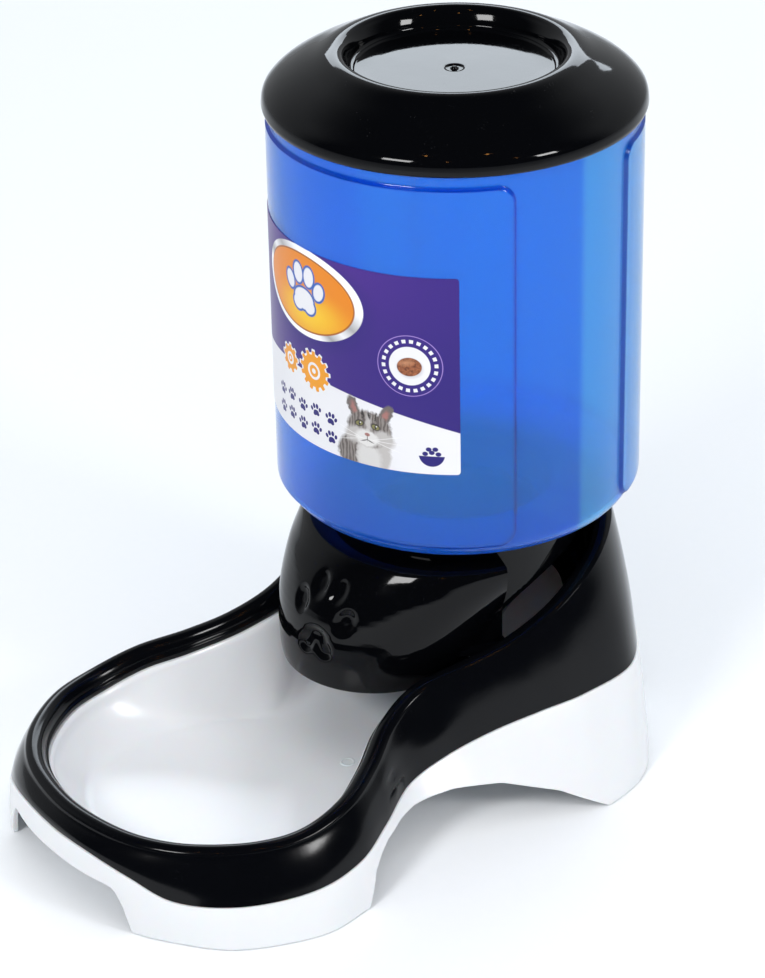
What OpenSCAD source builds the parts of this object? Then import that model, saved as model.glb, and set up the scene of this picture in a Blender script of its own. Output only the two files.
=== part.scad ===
// Gravity pet feeder: a clear hopper over a hood that drops dry food into a bowl.
// Units are millimetres. The origin is on the floor, under the middle of the feeder.
// +Z is up, the bowl is towards -Y, and the feeder is the same on both sides of X = 0.
// The shapes are drawn round the hopper's axis, and the last lines move them back to their place.

/* [Hopper] */
// Distance of the hopper's axis behind the middle of the feeder
hopper_y = 65.5; // [60:0.5:75]
// Radius of the wall between its two raised panels
hopper_r = 73.6; // [73:0.1:74.5]
// Height of the wall, from its underside to its open mouth
hopper_h = 173.5; // [150:0.5:220]
// Wall thickness
hopper_wall = 1.8; // [1.4:0.1:2.4]
// How far the two panels stand out from the wall
panel_rise = 1.5; // [0.8:0.1:2]
// Radius of the rounded lower edge
hopper_round = 9; // [6:0.5:12]

/* [Lid] */
// Height of the lid's crown above its lower edge
lid_h = 22.5; // [21:0.5:26]
// Wall thickness
lid_wall = 2; // [1.6:0.1:2.6]
// Radius of the round recess in the crown
recess_r = 40; // [34:1:44]
// Depth of the recess below the crown
recess_depth = 8.5; // [4:0.5:10]

/* [Label] */
// Half of the angle that the label covers, centred on the front
label_half_angle = 52.5; // [40:0.5:60]
// Height of the label's lower edge above the floor
label_z = 158; // [140:1:165]
// Height of the label
label_h = 85; // [70:1:100]

/* [Hood] */
// Height of the hopper's underside above the floor
seat_z = 117; // [116:1:122]
// Front height of the hood's open lower edge
outlet_z = 51; // [46:1:54]
// Wall thickness
hood_wall = 2.2; // [1.8:0.1:2.6]

/* [Twist lock] */
// Outer radius of the hopper's neck
neck_r = 40; // [36:0.5:41]
// Radial reach of each locking lug
lug_reach = 2.6; // [2:0.1:3]
// Turn that frees the hopper from the hood
twist_angle = 45; // [35:5:50]

/* [Base] */
// Wall thickness of the cover and of the tray
shell_wall = 2.2; // [1.8:0.1:2.4]
// Height of the bowl's floor
bowl_floor_z = 11; // [9:0.5:14]
// Height of the arch between the front feet
front_arch_h = 18; // [12:1:19]

/* [Hidden] */
$fn = 96;

clearance = 0.3;
mouth_z = seat_z + hopper_h;
lid_z = mouth_z - 5.5;
panel_r = hopper_r + panel_rise;
samples = 4;
shelf_z = 66;

// Half of the rim's crest, from the front round to the back: x, y, z
crest_half = [
    [0, -198, 38], [24, -195, 38], [42, -188, 38], [57, -176, 38], [70, -157, 38],
    [75, -137, 38.5], [73, -116, 42.5], [64, -97, 47.5], [54, -80, 55], [50, -62, 62],
    [54.5, -42, 67.5], [59, -20, 73.5], [61, 3, 84], [55.5, 26, 95.5], [41.5, 44, 102],
    [22, 56, 104.5], [0, 60, 105]];

// Half of the joint line between the cover and the tray, at the same stations
joint_half = [
    [0, -206, 28], [22, -204.5, 28], [42, -199, 24.5], [60, -189, 18], [79, -170, 18],
    [88, -142, 18], [86, -118, 20], [77, -98, 24.5], [66, -78, 29], [64.5, -58, 33.5],
    [68, -37, 38.5], [73, -15, 42], [76.5, 6, 44], [73.5, 33, 45.5], [54, 53, 46.5],
    [28, 67.5, 47], [0, 72, 47]];

// Half of the outline that the skirt would have on the floor, at the same stations
floor_half = [
    [0, -208, 0], [22, -206, 0], [43, -200, 0], [60, -190.5, 0], [80, -173, 0],
    [92.5, -142, 0], [90, -118, 0], [87, -98, 0], [85, -78, 0], [86, -58, 0],
    [90, -37, 0], [94, -15, 0], [94.5, 8, 0], [84.5, 33, 0], [58, 55, 0],
    [29, 69, 0], [0, 73.5, 0]];

// Self-tapping screws that hold the cover: x, y, height of the joint face
screw_spots = [[57, -82, 37], [66, 18, 55]];
screw_r = 1.5;
screw_below = 11;
screw_above = 8;

// ---------- curves ----------

// A closed loop from half an outline, mirrored across X = 0
function whole_loop(half) =
    let (n = len(half))
    concat(half, [for (i = [n - 2 : -1 : 1]) [-half[i][0], half[i][1], half[i][2]]]);

// A point on the smooth curve between p1 and p2
function curve_point(p0, p1, p2, p3, t) =
    0.5 * (2 * p1 + (p2 - p0) * t + (2 * p0 - 5 * p1 + 4 * p2 - p3) * t * t
        + (3 * p1 - p0 - 3 * p2 + p3) * t * t * t);

function smooth_loop(half) =
    let (p = whole_loop(half), n = len(p))
    [for (i = [0 : n - 1], k = [0 : samples - 1])
        curve_point(p[(i + n - 1) % n], p[i], p[(i + 1) % n], p[(i + 2) % n], k / samples)];

// A smooth open curve through a few points
function smooth_line(p) =
    let (n = len(p))
    [for (i = [0 : n - 2], k = [0 : samples - 1])
        curve_point(p[max(i - 1, 0)], p[i], p[i + 1], p[min(i + 2, n - 1)], k / samples)];

// Outward normals, level with the floor, at each station of a loop
function loop_normals(loop) =
    let (n = len(loop))
    [for (i = [0 : n - 1])
        let (d = loop[(i + 1) % n] - loop[(i + n - 1) % n], l = norm([d[0], d[1]]))
        [d[1] / l, -d[0] / l, 0]];

function mix(a, b, t) = a + (b - a) * t;

// 0 below a, 1 above b, smooth between
function ease(v, a, b) =
    let (t = min(1, max(0, (v - a) / (b - a))))
    t * t * (3 - 2 * t);

crest = smooth_loop(crest_half);
joint = smooth_loop(joint_half);
foot = smooth_loop(floor_half);
crest_n = loop_normals(crest);
joint_n = loop_normals(joint);
stations = len(crest);

// Depth of the rim's inner lip: shallow round the bowl, deep round the hood, and down to the
// shelf at the back
function lip_drop(c) = max(6 + 20 * ease(c[1], -72, -5), c[2] - shelf_z + 3.5);

// How far the cover closes in under the lip, towards the hood
function valley_w(c) = 0.4 + 11 * ease(c[1], -66, -22);

// A closed shell from rings of points, where each ring joins the next and the last the first
module ring_shell(rings) {
    n = len(rings[0]);
    m = len(rings);
    points = [for (r = rings) each r];
    faces = [for (k = [0 : m - 1], i = [0 : n - 1])
        let (a = k * n, b = ((k + 1) % m) * n, j = (i + 1) % n)
        each [[a + i, b + j, a + j], [a + i, b + i, b + j]]];
    polyhedron(points, faces);
}

// A closed solid from stacked rings, with a centre point at its first and its last ring
module capped_shell(rings, first, last) {
    n = len(rings[0]);
    m = len(rings);
    points = concat([for (r = rings) each r], [first, last]);
    sides = [for (k = [0 : m - 2], i = [0 : n - 1])
        let (a = k * n, b = (k + 1) * n, j = (i + 1) % n)
        each [[a + i, b + j, a + j], [a + i, b + i, b + j]]];
    start = [for (i = [0 : n - 1]) [m * n, i, (i + 1) % n]];
    end = [for (i = [0 : n - 1]) [m * n + 1, (m - 1) * n + (i + 1) % n, (m - 1) * n + i]];
    polyhedron(points, concat(sides, start, end));
}

// ---------- lid ----------

module lid() {
    crown_z = lid_z + lid_h;
    floor_z = crown_z - recess_depth;
    outer = smooth_line([
        [hopper_r + 2.4, lid_z], [hopper_r + 2.8, lid_z + 2.5], [hopper_r + 1.7, lid_z + 6.5],
        [hopper_r - 2.8, lid_z + 11], [recess_r + 24, lid_z + 15.2],
        [recess_r + 16.6, lid_z + 18.8], [recess_r + 10.5, crown_z - 0.7],
        [recess_r + 6.6, crown_z], [recess_r + 4, crown_z - 1.2],
        [recess_r + 2, crown_z - 5], [recess_r + 0.8, floor_z + 0.8]]);
    color("black") rotate_extrude() union() {
        // Crown, skirt and recess
        polygon(concat(outer,
            [[recess_r, floor_z + 0.8], [recess_r - 0.4, floor_z], [0, floor_z],
             [0, floor_z - lid_wall], [recess_r, floor_z - lid_wall],
             [recess_r + 4, crown_z - 3.6], [recess_r + 9.5, crown_z - 3],
             [recess_r + 16, lid_z + 17], [recess_r + 23.5, lid_z + 13.3],
             [hopper_r - 4, lid_z + 8.8], [hopper_r + 0.4, lid_z + 5.4],
             [hopper_r + 0.6, lid_z + 3], [hopper_r + 0.6, lid_z]]));
        // Ledge that rests on the hopper's mouth
        translate([hopper_r - 3, mouth_z]) square([3.4, 2]);
        // Ring that centres the lid inside the mouth
        translate([hopper_r - 3.9, mouth_z - 6]) square([1.6, 9.6]);
    }
}

// ---------- hopper and label ----------

module corner_waste(r, size) {
    // The part of a square corner that lies outside an arc of radius r, a little clear of its ends
    slack = 0.06;
    translate([-slack, -slack])
        polygon(concat([[-size, -size], [r, -size], [r, 0]],
            [for (a = [15 : 15 : 75]) [r - r * sin(a), r - r * cos(a)]], [[0, r], [-size, r]]));
}

module raised_panel(start, end) {
    z0 = seat_z + 7;
    z1 = lid_z - 5.5;
    corner = 7;
    difference() {
        rotate([0, 0, start]) rotate_extrude(angle = end - start)
            translate([hopper_r - 1, z0]) square([panel_rise + 1, z1 - z0]);
        for (side = [[start, 1], [end, -1]], level = [[z0, 1], [z1, -1]])
            rotate([0, 0, side[0]]) translate([hopper_r - 2, 0, level[0]])
                scale([1, side[1], level[1]]) rotate([90, 0, 90])
                    linear_extrude(8) corner_waste(corner, 2);
    }
}

module hopper() {
    floor_t = 2.2;
    inner_neck = neck_r - 2;
    arc = [for (a = [0 : 15 : 90])
        [hopper_r - hopper_round + hopper_round * sin(a), seat_z + hopper_round - hopper_round * cos(a)]];
    inner_round = hopper_round - hopper_wall;
    inner_arc = [for (a = [90 : -15 : 0])
        [hopper_r - hopper_round + inner_round * sin(a), seat_z + hopper_round - inner_round * cos(a)]];
    color("royalblue") union() {
        rotate_extrude() polygon(concat(
            [[neck_r, seat_z - 17], [neck_r, seat_z]], arc, [[hopper_r, mouth_z],
             [hopper_r - hopper_wall, mouth_z]], inner_arc,
            [[inner_neck + 2, seat_z + floor_t - 0.4], [inner_neck, seat_z],
             [inner_neck, seat_z - 17]]));
        raised_panel(-90 - 69.5, -90 + 69.5);
        raised_panel(90 - 66, 90 + 66);
        // Locking lugs round the neck
        for (k = [0 : 2])
            rotate([0, 0, 120 * k - 12]) rotate_extrude(angle = 24)
                translate([neck_r - 0.8, seat_z - 17]) square([lug_reach + 0.8, 3]);
    }
}

module front_label() {
    thickness = 0.25;
    color("indigo") rotate([0, 0, -90 - label_half_angle])
        rotate_extrude(angle = 2 * label_half_angle)
            translate([panel_r + 0.02, label_z]) square([thickness, label_h]);
}

// ---------- hood ----------

// Levels of the hood's outer wall: height, centre towards the front, radius
hood_levels = [
    [outlet_z, 44, 38.5], [outlet_z + 2, 43.2, 40.6], [outlet_z + 7, 41, 43], [68, 37, 46.5],
    [80, 30, 51], [92, 19, 56.5], [99, 11, 59.5], [103.5, 6, 60.8], [105.4, 4.4, 60.2],
    [106, 3.6, 58.8]];

// How far the open lower edge runs down towards the back
function outlet_fall(a) = 19 * ease(abs(a), 85, 180);

function hood_point(level, a, inset) =
    let (low = 1 - ease(level[0], outlet_z, 80),
         r = level[2] - inset)
    [r * sin(a), -level[1] - r * cos(a), level[0] - outlet_fall(a) * low];

// The hood's back is narrower: its radius, where it starts and how far it goes round
back_r = 52.6;
back_start = -20;
back_turn = 220;

function hood_ring(level, inset) = [for (a = [-180 : 4.5 : 175.5]) hood_point(level, a, inset)];

module hood_wall_shell() {
    outside = [for (l = hood_levels) hood_ring(l, 0)];
    inside = [for (k = [len(hood_levels) - 1 : -1 : 0]) hood_ring(hood_levels[k], hood_wall)];
    ring_shell(concat(outside, inside));
}

module feed_hood() {
    top_z = 106;
    plate_t = 2.6;
    socket_r = neck_r + clearance;
    color("black") difference() {
        union() {
            difference() {
                union() {
                    hood_wall_shell();
                    // Plate that closes the top and carries the twist lock
                    translate([0, 0, top_z - plate_t]) linear_extrude(plate_t)
                        polygon([for (p = hood_ring([top_z, 3.6, 58.8], 0.8)) [p[0], p[1]]]);
                }
                // Step down to the narrower back part
                rotate([0, 0, back_start]) rotate_extrude(angle = back_turn)
                    translate([back_r - 0.6, outlet_z - 30]) square([20, 90]);
            }
            // Ring that the hopper stands on
            translate([0, 0, top_z - 0.5]) rotate_extrude()
                translate([back_r - 3.4, 0]) square([3.3, seat_z - clearance - top_z + 0.5]);
            // Skirt round the back that stands on the cover's shelf
            rotate([0, 0, back_start - 1]) rotate_extrude(angle = back_turn + 2)
                translate([back_r - 2.2, shelf_z + 0.2]) square([2.2, top_z - shelf_z - 0.2]);
            // Flat step at each end of the skirt
            for (side = [0, 1]) mirror([side, 0, 0]) rotate([90, 0, back_start - 1])
                translate([0, 0, -2.2]) linear_extrude(2.2)
                    polygon([[33, 57], [back_r - 0.5, 57], [back_r - 0.5, top_z - 1],
                             [50, top_z - 1], [50.4, 80], [42.5, 68], [38, 62]]);
        }
        // Socket for the hopper's neck, with a way in for each lug
        translate([0, 0, top_z - plate_t - 1]) cylinder(r = socket_r, h = plate_t + 2);
        for (k = [0 : 2])
            rotate([0, 0, 120 * k + twist_angle - 14]) rotate_extrude(angle = 28)
                translate([neck_r - 3, top_z - plate_t - 1])
                    square([lug_reach + clearance + 3, plate_t + 2]);
    }
}

// ---------- cover ----------

function cover_section(i) =
    let (c = crest[i], s = joint[i], n = crest_n[i], m = joint_n[i], up = [0, 0, 1],
         shoulder = c + 4.2 * n - 3.2 * up, drop = lip_drop(c), valley = valley_w(c),
         under = c + 1.9 * n - 5 * up, heel = s - shell_wall * m + 0.4 * up)
    [s + 0.4 * up,
     mix(s, shoulder, 0.34) + 0.8 * n, mix(s, shoulder, 0.7) + 0.7 * n, shoulder,
     c + 3.3 * n - 1.3 * up, c + 1.5 * n - 0.2 * up, c - 0.8 * n - 0.1 * up,
     c - 2.8 * n - 1.2 * up, c - 4 * n - 3.4 * up, c - 5 * n - (drop - 3) * up,
     c - (5 + valley) * n - drop * up, c - (5 + valley) * n - (drop + 2) * up,
     c - 3 * n - drop * up, c - 1.9 * n - 4.6 * up, under,
     mix(heel, under, 0.7) + 0.7 * n, mix(heel, under, 0.34) + 0.8 * n, heel];

module cover() {
    sections = [for (i = [0 : stations - 1]) cover_section(i)];
    rings = [for (k = [0 : len(sections[0]) - 1]) [for (i = [0 : stations - 1]) sections[i][k]]];
    color("black") difference() {
        union() {
            ring_shell(rings);
            // Shelf that carries the hood
            rotate([0, 0, back_start + 3]) rotate_extrude(angle = back_turn - 6)
                translate([46, shelf_z - 2.4]) square([12, 2.4]);
            // Bosses for the screws
            for (spot = screw_spots, side = [-1, 1])
                translate([side * spot[0], spot[1], spot[2] + 0.2])
                    cylinder(r = 3.6, h = screw_above + 1.5);
        }
        for (spot = screw_spots, side = [-1, 1])
            translate([side * spot[0], spot[1], spot[2] - 1])
                cylinder(r = screw_r + 0.02, h = screw_above + 1.4);
    }
}

// ---------- tray ----------

bowl_centre = [0, -122, 0];
bowl_half_x = 50;
bowl_half_y = 56;

// Point on the edge of the bowl's flat floor, in the direction of a rim point
function floor_point(c, grow) =
    let (d = c - bowl_centre, l = norm([d[0], d[1]]), u = [d[0] / l, d[1] / l],
         r = 1 / sqrt(pow(u[0] / bowl_half_x, 2) + pow(u[1] / bowl_half_y, 2)) + grow)
    [bowl_centre[0] + u[0] * r, bowl_centre[1] + u[1] * r, bowl_floor_z];

// A point down the bowl's wall: steep at the rim, flat at the floor
function bowl_wall(from, to, t) =
    let (p = mix(from, to, t))
    [p[0], p[1], to[2] + (from[2] - to[2]) * (1 - t) * (1 - t)];

function tray_section(i) =
    let (c = crest[i], s = joint[i], f = foot[i], n = crest_n[i], m = joint_n[i], up = [0, 0, 1],
         lean = (c + 4.2 * n - 3.2 * up - s) / norm(c + 4.2 * n - 3.2 * up - s),
         rim = c - (lip_drop(c) + 2.4) * up, w = shell_wall,
         wall_top = rim - 8 * n - 4 * up, edge = floor_point(c, 0), flat = mix(bowl_centre, edge, 0.5),
         low_edge = floor_point(c, 1.5) - w * up, wall_back = rim - 5.6 * n - 5 * up)
    [f, mix(f, s, 0.5) + 0.6 * m, s, s - (w + 0.4) * m,
     s - (w + 0.5) * m + 3 * lean, s - (w + 2) * m + 3 * lean, s - (w + 2.6) * m + 0.4 * up,
     rim - 1.5 * n - 1.2 * up, rim - 2.4 * n, rim - 6.4 * n, rim - 7.2 * n - 0.8 * up, wall_top,
     bowl_wall(wall_top, edge, 0.25), bowl_wall(wall_top, edge, 0.5),
     bowl_wall(wall_top, edge, 0.75), edge, [flat[0], flat[1], bowl_floor_z - 0.3],
     [flat[0], flat[1], bowl_floor_z - 0.3 - w], low_edge,
     bowl_wall(wall_back, low_edge, 0.75), bowl_wall(wall_back, low_edge, 0.5),
     bowl_wall(wall_back, low_edge, 0.25), wall_back, rim - 3.4 * n - 3 * up,
     s - (w + 3.4) * m - 1.8 * up, s - w * m - 3 * up,
     mix(f, s, 0.5) - (w - 0.6) * m, f - w * m];

module tray_shell() {
    sections = [for (i = [0 : stations - 1]) tray_section(i)];
    last = len(sections[0]) - 1;
    split = 17;
    // The lower side from the middle out to the feet, then the upper side back to the middle
    order = concat([for (k = [split : last]) k], [for (k = [0 : split - 1]) k]);
    rings = [for (k = order) [for (i = [0 : stations - 1]) sections[i][k]]];
    middle = bowl_centre + [0, 0, bowl_floor_z - 0.4];
    capped_shell(rings, middle - [0, 0, shell_wall], middle);
}

module end_arch(y0, y1, half_bottom, half_top, h) {
    outline = smooth_line([
        [-half_bottom - 1, -3], [-half_bottom, 0], [-half_bottom + 3, h * 0.55],
        [-half_top, h - 1.5], [-half_top + 6, h], [0, h], [half_top - 6, h], [half_top, h - 1.5],
        [half_bottom - 3, h * 0.55], [half_bottom, 0], [half_bottom + 1, -3]]);
    translate([0, y1, 0]) rotate([90, 0, 0]) linear_extrude(y1 - y0)
        polygon(concat(outline, [[half_bottom + 1, -4]]));
}

module side_arch() {
    outline = smooth_line([
        [-119, -4], [-117, 0], [-111, 13], [-100, 20], [-80, 22.5], [-60, 22.5], [-40, 20.5],
        [-18, 12.5], [3, 0], [8, -4]]);
    for (side = [0, 1]) mirror([side, 0, 0])
        translate([60, 0, 0]) rotate([90, 0, 90]) linear_extrude(50) polygon(outline);
}

module base_tray() {
    color("white") difference() {
        union() {
            tray_shell();
            // Bosses that the screw heads pull against
            for (spot = screw_spots, side = [-1, 1])
                translate([side * spot[0], spot[1], spot[2] - screw_below])
                    cylinder(r = 4.6, h = screw_below);
        }
        end_arch(-230, -194, 44, 37, front_arch_h);
        end_arch(64, 100, 34, 28, front_arch_h - 2);
        side_arch();
        for (spot = screw_spots, side = [-1, 1])
            translate([side * spot[0], spot[1], 0]) {
                translate([0, 0, spot[2]]) cylinder(r = 4.6, h = 12);
                translate([0, 0, spot[2] - screw_below - 1])
                    cylinder(r = screw_r + 0.2, h = screw_below + 2);
            }
    }
}

module cover_screws() {
    color("silver")
        for (spot = screw_spots, side = [-1, 1])
            translate([side * spot[0], spot[1], spot[2] - screw_below])
                difference() {
                    union() {
                        translate([0, 0, -2]) cylinder(r = 3, h = 2);
                        translate([0, 0, -0.5])
                            cylinder(r = screw_r, h = screw_below + screw_above + 0.5 - 1);
                    }
                    for (turn = [0, 90])
                        rotate([0, 0, turn]) translate([-1.8, -0.35, -2.1]) cube([3.6, 0.7, 1.3]);
                }
}

module in_place() {
    translate([0, hopper_y, 0]) children();
}

in_place() lid();
in_place() hopper();
in_place() front_label();
in_place() feed_hood();
in_place() cover();
in_place() base_tray();
in_place() cover_screws();
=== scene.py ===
import math

import bpy
import numpy as np
from mathutils import Matrix, Vector


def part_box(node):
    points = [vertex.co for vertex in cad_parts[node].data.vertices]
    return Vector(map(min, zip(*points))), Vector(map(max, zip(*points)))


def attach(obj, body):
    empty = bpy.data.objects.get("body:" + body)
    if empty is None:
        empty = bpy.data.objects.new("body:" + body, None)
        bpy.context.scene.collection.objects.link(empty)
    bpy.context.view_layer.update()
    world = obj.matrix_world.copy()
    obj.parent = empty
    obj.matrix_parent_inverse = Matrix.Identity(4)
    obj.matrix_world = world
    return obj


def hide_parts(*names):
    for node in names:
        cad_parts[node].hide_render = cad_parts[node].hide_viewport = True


# Looks of the gravity pet feeder. Blender units are metres; the shape lists below are in
# millimetres from the hopper's axis, as the part's own source has them.
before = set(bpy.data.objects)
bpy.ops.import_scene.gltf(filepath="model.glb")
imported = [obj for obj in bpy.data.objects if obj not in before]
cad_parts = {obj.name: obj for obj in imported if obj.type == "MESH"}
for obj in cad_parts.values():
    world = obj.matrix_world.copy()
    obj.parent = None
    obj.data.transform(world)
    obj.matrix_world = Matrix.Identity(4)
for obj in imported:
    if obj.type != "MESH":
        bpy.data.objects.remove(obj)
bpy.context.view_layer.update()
mm = 0.001
hopperLow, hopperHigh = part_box("hopper")
axisY = (hopperLow.y + hopperHigh.y) / 2  # the hopper's axis, behind the feeder's middle
lidZ = 285.0
mouthZ = hopperHigh.z / mm
print("frame loaded, hopper axis at", round(axisY, 4))


def clearSelection():
    if bpy.context.object and bpy.context.object.mode != "OBJECT":
        endEdit()
    bpy.ops.object.select_all(action="DESELECT")


def pick(piece):
    clearSelection()
    piece.select_set(True)
    bpy.context.view_layer.objects.active = piece


def renameNew(name):
    piece = bpy.context.object
    piece.name = name
    piece.data.name = name
    return piece


def editAll():
    bpy.ops.object.mode_set(mode="EDIT")
    bpy.ops.mesh.select_all(action="SELECT")


def endEdit():
    bpy.ops.object.mode_set(mode="OBJECT")


def weld(piece):
    pick(piece)
    editAll()
    bpy.ops.mesh.remove_doubles(threshold=2e-6)
    bpy.ops.mesh.normals_make_consistent(inside=False)
    endEdit()
    return piece


def smoothShade(piece, degrees=38):
    pick(piece)
    bpy.ops.object.shade_smooth_by_angle(angle=math.radians(degrees))
    return piece


def joined(name, pieces):
    pick(pieces[0])
    for p in pieces[1:]:
        p.select_set(True)
    bpy.ops.object.join()
    return renameNew(name)


def cutAway(piece, cutter):
    cut = piece.modifiers.new("cut", "BOOLEAN")
    cut.operation = "DIFFERENCE"
    cut.solver = "EXACT"
    cut.object = cutter
    pick(piece)
    bpy.ops.object.modifier_apply(modifier="cut")
    bpy.data.objects.remove(cutter)


def ease(v, a, b):
    t = np.clip((v - a) / (b - a), 0, 1)
    return t * t * (3 - 2 * t)


def mix(a, b, t):
    return a + (b - a) * t


def curvePoint(p0, p1, p2, p3, t):
    return 0.5 * (2 * p1 + (p2 - p0) * t + (2 * p0 - 5 * p1 + 4 * p2 - p3) * t * t
                  + (3 * p1 - p0 - 3 * p2 + p3) * t * t * t)


def smoothLine(points, samples):
    # a smooth curve through every point; each point may be a whole ring of points
    p = [np.asarray(q, float) for q in points]
    n = len(p)
    line = [curvePoint(p[max(i - 1, 0)], p[i], p[i + 1], p[min(i + 2, n - 1)], k / samples)
            for i in range(n - 1) for k in range(samples)]
    return line + [p[-1]]


def straight(a, b, steps):
    # the points between two rings, without the first ring itself
    return [mix(a, b, k / steps) for k in range(1, steps + 1)]


def loopAt(half, places):
    # a smooth closed loop through half an outline and its mirror image, at the given places
    p = np.array(half + [[-q[0], q[1], q[2]] for q in half[-2:0:-1]], float)
    n = len(p)
    at = np.asarray(places) % n
    i = np.floor(at).astype(int)
    t = (at - i)[:, None]
    return curvePoint(p[(i - 1) % n], p[i], p[(i + 1) % n], p[(i + 2) % n], t)


def levelNormals(half, places):
    d = loopAt(half, np.asarray(places) + 0.25) - loopAt(half, np.asarray(places) - 0.25)
    long = np.hypot(d[:, 0], d[:, 1])
    return np.stack([d[:, 1] / long, -d[:, 0] / long, np.zeros(len(d))], 1)


def apart(places, least):
    places = np.array(sorted(places))
    return places[np.concatenate([[True], np.diff(places) > least])]


def gridSkin(name, rows, closed=False):
    # a grid whose rows are placed on the given rings of points, then welded shut
    rows = np.asarray(rows, float)
    rows = np.concatenate([rows, rows[:, :1]], 1)
    if closed:
        rows = np.concatenate([rows, rows[:1]], 0)
    down, across = rows.shape[:2]
    clearSelection()
    bpy.ops.mesh.primitive_grid_add(x_subdivisions=across - 1, y_subdivisions=down - 1, size=1)
    piece = renameNew(name)
    place = rows * mm + np.array([0, axisY, 0])
    piece.data.vertices.foreach_set("co", place.astype(np.float32).ravel())
    piece.data.update()
    return weld(piece)


def lathe(name, outline, steps=192, start=0, turn=360, x=0, y=0, closed=True):
    # an outline of radius and height, drawn vertex by vertex and spun round an upright axis
    centre = Vector((x * mm, y * mm + axisY, 0))
    a = math.radians(start)
    out = Vector((math.cos(a), math.sin(a), 0))
    places = [centre + out * (r * mm) + Vector((0, 0, z * mm)) for r, z in outline]
    if closed:
        places.append(places[0])
    clearSelection()
    bpy.ops.mesh.primitive_plane_add(size=mm)
    piece = renameNew(name)
    editAll()
    bpy.ops.mesh.merge(type="CENTER")
    bpy.ops.transform.translate(value=places[0])
    for before, after in zip(places, places[1:]):
        bpy.ops.mesh.extrude_region_move(TRANSFORM_OT_translate={"value": after - before})
    bpy.ops.mesh.select_all(action="SELECT")
    bpy.ops.mesh.remove_doubles(threshold=1e-7)
    bpy.ops.mesh.spin(steps=steps, angle=math.radians(turn), center=centre, axis=(0, 0, 1))
    if turn < 360:  # flat ends
        bpy.ops.mesh.select_all(action="DESELECT")
        bpy.ops.mesh.select_non_manifold(extend=False, use_wire=False, use_multi_face=False,
                                         use_non_contiguous=False, use_verts=False)
        bpy.ops.mesh.edge_face_add()
    endEdit()
    return weld(piece)


def plate(name, outline, thickness, turn, offset):
    # a flat outline of sideways distance and height, stood upright through the axis and thickened
    a = math.radians(turn)
    along, across = Vector((math.cos(a), math.sin(a), 0)), Vector((-math.sin(a), math.cos(a), 0))
    clearSelection()
    bpy.ops.mesh.primitive_circle_add(vertices=len(outline), radius=mm, fill_type="NGON")
    piece = renameNew(name)
    for v, (s, z) in zip(piece.data.vertices, outline):
        v.co = Vector((0, axisY, z * mm)) + along * (s * mm) + across * (offset * mm)
    editAll()
    bpy.ops.mesh.extrude_region_move(TRANSFORM_OT_translate={"value": across * (thickness * mm)})
    endEdit()
    return weld(piece)


def delivered(piece, material, body, slotName, *nodes):
    piece.data.materials.clear()
    piece.data.materials.append(material)
    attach(piece, body)
    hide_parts(*nodes)
    print("made", piece.name, len(piece.data.polygons), "faces")


def addNode(tree, kind, **values):
    node = tree.nodes.new(kind)
    for key, value in values.items():
        setattr(node, key, value)
    return node


def treeOf(values):
    return next(v.id_data for v in values if isinstance(v, bpy.types.NodeSocket))


def fill(node, values):
    # each value is a plain one or another node's output
    for key, value in values.items():
        if isinstance(value, bpy.types.NodeSocket):
            node.id_data.links.new(value, node.inputs[key])
        else:
            node.inputs[key].default_value = value
    return node


def calc(operation, *values, clamp=False):
    node = addNode(treeOf(values), "ShaderNodeMath", operation=operation, use_clamp=clamp)
    return fill(node, dict(enumerate(values))).outputs[0]


def times(a, b, clamp=False):
    return calc("MULTIPLY", a, b, clamp=clamp)


def plus(a, b, clamp=False):
    return calc("ADD", a, b, clamp=clamp)


def minus(a, b):
    return calc("SUBTRACT", a, b)


def length(x, y):
    return calc("SQRT", plus(times(x, x), times(y, y)))


def softEdge(inside, soft):
    # 1 where a distance inside an edge is above zero, 0 where it is below
    return plus(calc("DIVIDE", inside, soft), 0.5, clamp=True)


def blend(share, a, b):
    node = addNode(treeOf((share, a, b)), "ShaderNodeMix", data_type="RGBA")
    return fill(node, {"Factor": share, 6: a, 7: b}).outputs[2]


def remap(value, fromLow, fromHigh, toLow, toHigh, smooth=False):
    node = addNode(value.id_data, "ShaderNodeMapRange",
                   interpolation_type="SMOOTHSTEP" if smooth else "LINEAR")
    return fill(node, dict(enumerate((value, fromLow, fromHigh, toLow, toHigh)))).outputs[0]


def split(place):
    return fill(addNode(place.id_data, "ShaderNodeSeparateXYZ"), {0: place}).outputs


def objectPlace(tree, fromAxis=False, scale=(1, 1, 1)):
    place = addNode(tree, "ShaderNodeTexCoord").outputs["Object"]
    shift = (0, -axisY if fromAxis else 0, 0)
    mapping = addNode(tree, "ShaderNodeMapping")
    return fill(mapping, {"Location": shift, "Scale": scale, "Vector": place}).outputs[0]


def noise(place, scale, detail=2.0, rough=0.5):
    node = addNode(place.id_data, "ShaderNodeTexNoise")
    fill(node, {"Vector": place, "Scale": scale, "Detail": detail, "Roughness": rough})
    return node.outputs["Fac"]


def newGroup(name, takes, gives):
    # an input without a value of its own is a place
    group = bpy.data.node_groups.new(name, "ShaderNodeTree")
    for label, value in takes.items():
        kind = "NodeSocketVector" if value is None else "NodeSocketFloat"
        socket = group.interface.new_socket(name=label, in_out="INPUT", socket_type=kind)
        if value is not None:
            socket.default_value = value
    for label in gives:
        group.interface.new_socket(name=label, in_out="OUTPUT", socket_type="NodeSocketFloat")
    return group, addNode(group, "NodeGroupInput").outputs, addNode(group, "NodeGroupOutput")


def useGroup(tree, group, **values):
    return fill(addNode(tree, "ShaderNodeGroup", node_tree=group), values).outputs


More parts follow.
